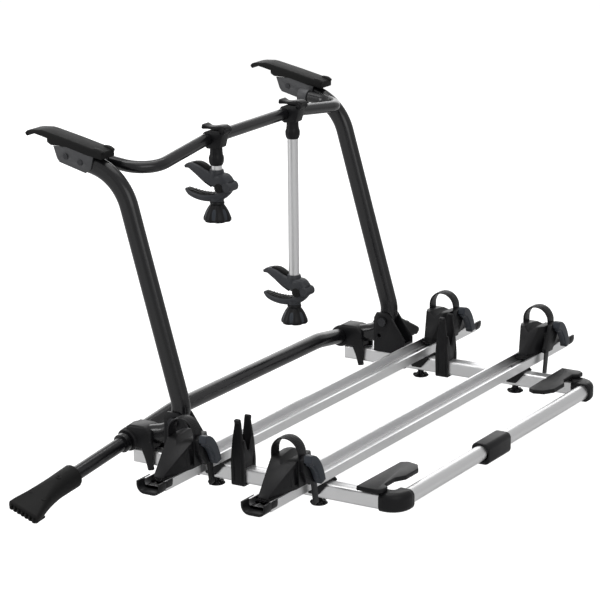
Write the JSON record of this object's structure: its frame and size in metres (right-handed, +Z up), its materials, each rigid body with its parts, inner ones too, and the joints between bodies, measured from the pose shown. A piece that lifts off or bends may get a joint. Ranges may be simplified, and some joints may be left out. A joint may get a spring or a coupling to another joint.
{
  "type": "rear bike rack",
  "caption": "Tailgate bike rack: a bent tube mast with hooks and bumper feet carries a folding platform of wheel trays, strap holders and swing-down frame clamps.",
  "frame": {"origin": "middle of the tailgate edge that the two top hooks sit on, halfway between the hooks", "axes": "+X to the right seen from behind the vehicle, +Y towards the vehicle, +Z up"},
  "size_m": [1.4608, 0.8215, 0.6769],
  "materials": {
    "black_tube": "gloss",
    "silver": "satin",
    "steel_plate": "satin",
    "bolt_steel": "satin",
    "casting": "matt",
    "black_plastic": "matt",
    "jaw_plastic": "matt",
    "buckle_plastic": "satin",
    "strap": "satin",
    "rubber": "matt"
  },
  "bodies": {
    "mast": {"upright_left": "black_tube", "upright_right": "black_tube", "upper_crossbar": "black_tube", "lower_crossbar": "black_tube", "hook_cover_left": "rubber", "hook_cover_right": "rubber", "hook_bracket_left": "steel_plate", "hook_bracket_right": "steel_plate", "mast_fasteners": "bolt_steel", "junction_left": "casting", "junction_right": "casting"},
    "platform": {"rail_left": "silver", "rail_right": "silver", "hinge_bracket_left": "casting", "hinge_bracket_right": "casting", "bracket_bolts": "bolt_steel", "rear_bar": "silver", "rear_sleeve": "black_plastic", "corner_elbow_left": "black_plastic", "corner_elbow_right": "black_plastic", "corner_pad_left": "black_plastic", "corner_pad_right": "black_plastic", "tray_inner": "silver", "tray_outer": "silver", "tray_end_caps": "black_plastic", "tray_saddles": "black_plastic", "rail_clip_left": "black_plastic", "rail_clip_right": "black_plastic"},
    "foot_left_slide": {"foot_arm_left": "black_tube", "foot_left": "rubber"},
    "foot_right_slide": {"foot_arm_right": "black_tube", "foot_right": "rubber"},
    "wing_knob_inner_left": {"tray_knob_inner_left": "black_plastic"},
    "holder_inner_left": {"chock_inner_left": "black_plastic", "strap_inner_left": "strap"},
    "ratchet_lever_inner_left": {"ratchet_inner_left": "buckle_plastic"},
    "wing_knob_inner_right": {"tray_knob_inner_right": "black_plastic"},
    "holder_inner_right": {"chock_inner_right": "black_plastic", "strap_inner_right": "strap"},
    "ratchet_lever_inner_right": {"ratchet_inner_right": "buckle_plastic"},
    "wing_knob_outer_left": {"tray_knob_outer_left": "black_plastic"},
    "holder_outer_left": {"chock_outer_left": "black_plastic", "strap_outer_left": "strap"},
    "ratchet_lever_outer_left": {"ratchet_outer_left": "buckle_plastic"},
    "wing_knob_outer_right": {"tray_knob_outer_right": "black_plastic"},
    "holder_outer_right": {"chock_outer_right": "black_plastic", "strap_outer_right": "strap"},
    "ratchet_lever_outer_right": {"ratchet_outer_right": "buckle_plastic"},
    "short_holder": {"short_clamp": "black_plastic", "short_tube": "silver", "short_upper_jaw": "jaw_plastic"},
    "short_lever_body": {"short_lever": "black_plastic"},
    "short_lower_jaw_body": {"short_lower_jaw": "jaw_plastic"},
    "short_knob_body": {"short_knob": "black_plastic"},
    "long_holder": {"long_clamp": "black_plastic", "long_tube": "silver", "long_upper_jaw": "jaw_plastic"},
    "long_lever_body": {"long_lever": "black_plastic"},
    "long_lower_jaw_body": {"long_lower_jaw": "jaw_plastic"},
    "long_knob_body": {"long_knob": "black_plastic"}
  },
  "joints": [
    {"name": "platform_fold", "type": "hinge", "parent": "mast", "child": "platform", "pos_m": [0, -0.29222, -0.5228], "axis": [-1, 0, 0], "range_deg": [0, 44]},
    {"name": "foot_left_telescope", "type": "slide", "parent": "mast", "child": "foot_left_slide", "axis": [-0.9847, 0.0719, -0.1585], "range_m": [-0.045, 0.04]},
    {"name": "foot_right_telescope", "type": "slide", "parent": "mast", "child": "foot_right_slide", "axis": [0.9847, 0.0719, -0.1585], "range_m": [-0.045, 0.04]},
    {"name": "wing_knob_inner_left_turn", "type": "hinge", "parent": "platform", "child": "wing_knob_inner_left", "pos_m": [-0.4, -0.375, -0.61997], "axis": [0, 0, 1], "continuous": true},
    {"name": "holder_inner_left_slide", "type": "slide", "parent": "platform", "child": "holder_inner_left", "axis": [1, 0, 0], "range_m": [-0.01, 0.018]},
    {"name": "ratchet_inner_left_lift", "type": "hinge", "parent": "holder_inner_left", "child": "ratchet_lever_inner_left", "pos_m": [-0.505, -0.402, -0.51597], "axis": [0, -1, 0], "range_deg": [0, 35]},
    {"name": "wing_knob_inner_right_turn", "type": "hinge", "parent": "platform", "child": "wing_knob_inner_right", "pos_m": [0.4, -0.375, -0.61997], "axis": [0, 0, 1], "continuous": true},
    {"name": "holder_inner_right_slide", "type": "slide", "parent": "platform", "child": "holder_inner_right", "axis": [1, 0, 0], "range_m": [-0.03, 0.01]},
    {"name": "ratchet_inner_right_lift", "type": "hinge", "parent": "holder_inner_right", "child": "ratchet_lever_inner_right", "pos_m": [0.505, -0.402, -0.51597], "axis": [0, -1, 0], "range_deg": [0, 35]},
    {"name": "wing_knob_outer_left_turn", "type": "hinge", "parent": "platform", "child": "wing_knob_outer_left", "pos_m": [-0.4, -0.601, -0.61997], "axis": [0, 0, 1], "continuous": true},
    {"name": "holder_outer_left_slide", "type": "slide", "parent": "platform", "child": "holder_outer_left", "axis": [1, 0, 0], "range_m": [-0.01, 0.018]},
    {"name": "ratchet_outer_left_lift", "type": "hinge", "parent": "holder_outer_left", "child": "ratchet_lever_outer_left", "pos_m": [-0.505, -0.628, -0.51597], "axis": [0, -1, 0], "range_deg": [0, 35]},
    {"name": "wing_knob_outer_right_turn", "type": "hinge", "parent": "platform", "child": "wing_knob_outer_right", "pos_m": [0.4, -0.601, -0.61997], "axis": [0, 0, 1], "continuous": true},
    {"name": "holder_outer_right_slide", "type": "slide", "parent": "platform", "child": "holder_outer_right", "axis": [1, 0, 0], "range_m": [-0.03, 0.01]},
    {"name": "ratchet_outer_right_lift", "type": "hinge", "parent": "holder_outer_right", "child": "ratchet_lever_outer_right", "pos_m": [0.505, -0.628, -0.51597], "axis": [0, -1, 0], "range_deg": [0, 35]},
    {"name": "short_holder_swing", "type": "hinge", "parent": "mast", "child": "short_holder", "pos_m": [-0.142, -0.206, -0.03397], "axis": [-1, 0, 0], "range_deg": [0, 80]},
    {"name": "short_clamp_lever_open", "type": "hinge", "parent": "short_holder", "child": "short_lever_body", "pos_m": [-0.142, -0.24, -0.01597], "axis": [1, 0, 0], "range_deg": [0, 100]},
    {"name": "short_jaw_open", "type": "hinge", "parent": "short_holder", "child": "short_lower_jaw_body", "pos_m": [-0.142, -0.24908, -0.12573], "axis": [1, 0, 0], "range_deg": [-14, 0]},
    {"name": "short_knob_turn", "type": "hinge", "parent": "short_lower_jaw_body", "child": "short_knob_body", "pos_m": [-0.142, -0.218, -0.15797], "axis": [0, 0, 1], "range_deg": [-1260, 0]},
    {"name": "long_holder_swing", "type": "hinge", "parent": "mast", "child": "long_holder", "pos_m": [0.142, -0.206, -0.03397], "axis": [-1, 0, 0], "range_deg": [0, 80]},
    {"name": "long_clamp_lever_open", "type": "hinge", "parent": "long_holder", "child": "long_lever_body", "pos_m": [0.142, -0.24, -0.01597], "axis": [1, 0, 0], "range_deg": [0, 100]},
    {"name": "long_jaw_open", "type": "hinge", "parent": "long_holder", "child": "long_lower_jaw_body", "pos_m": [0.142, -0.24908, -0.40373], "axis": [1, 0, 0], "range_deg": [-14, 0]},
    {"name": "long_knob_turn", "type": "hinge", "parent": "long_lower_jaw_body", "child": "long_knob_body", "pos_m": [0.142, -0.218, -0.43597], "axis": [0, 0, 1], "range_deg": [-1260, 0]}
  ],
  "couplings": [
    {"joint": "short_jaw_open", "follows": "short_knob_turn", "ratio": 0.011111},
    {"joint": "long_jaw_open", "follows": "long_knob_turn", "ratio": 0.011111}
  ]
}
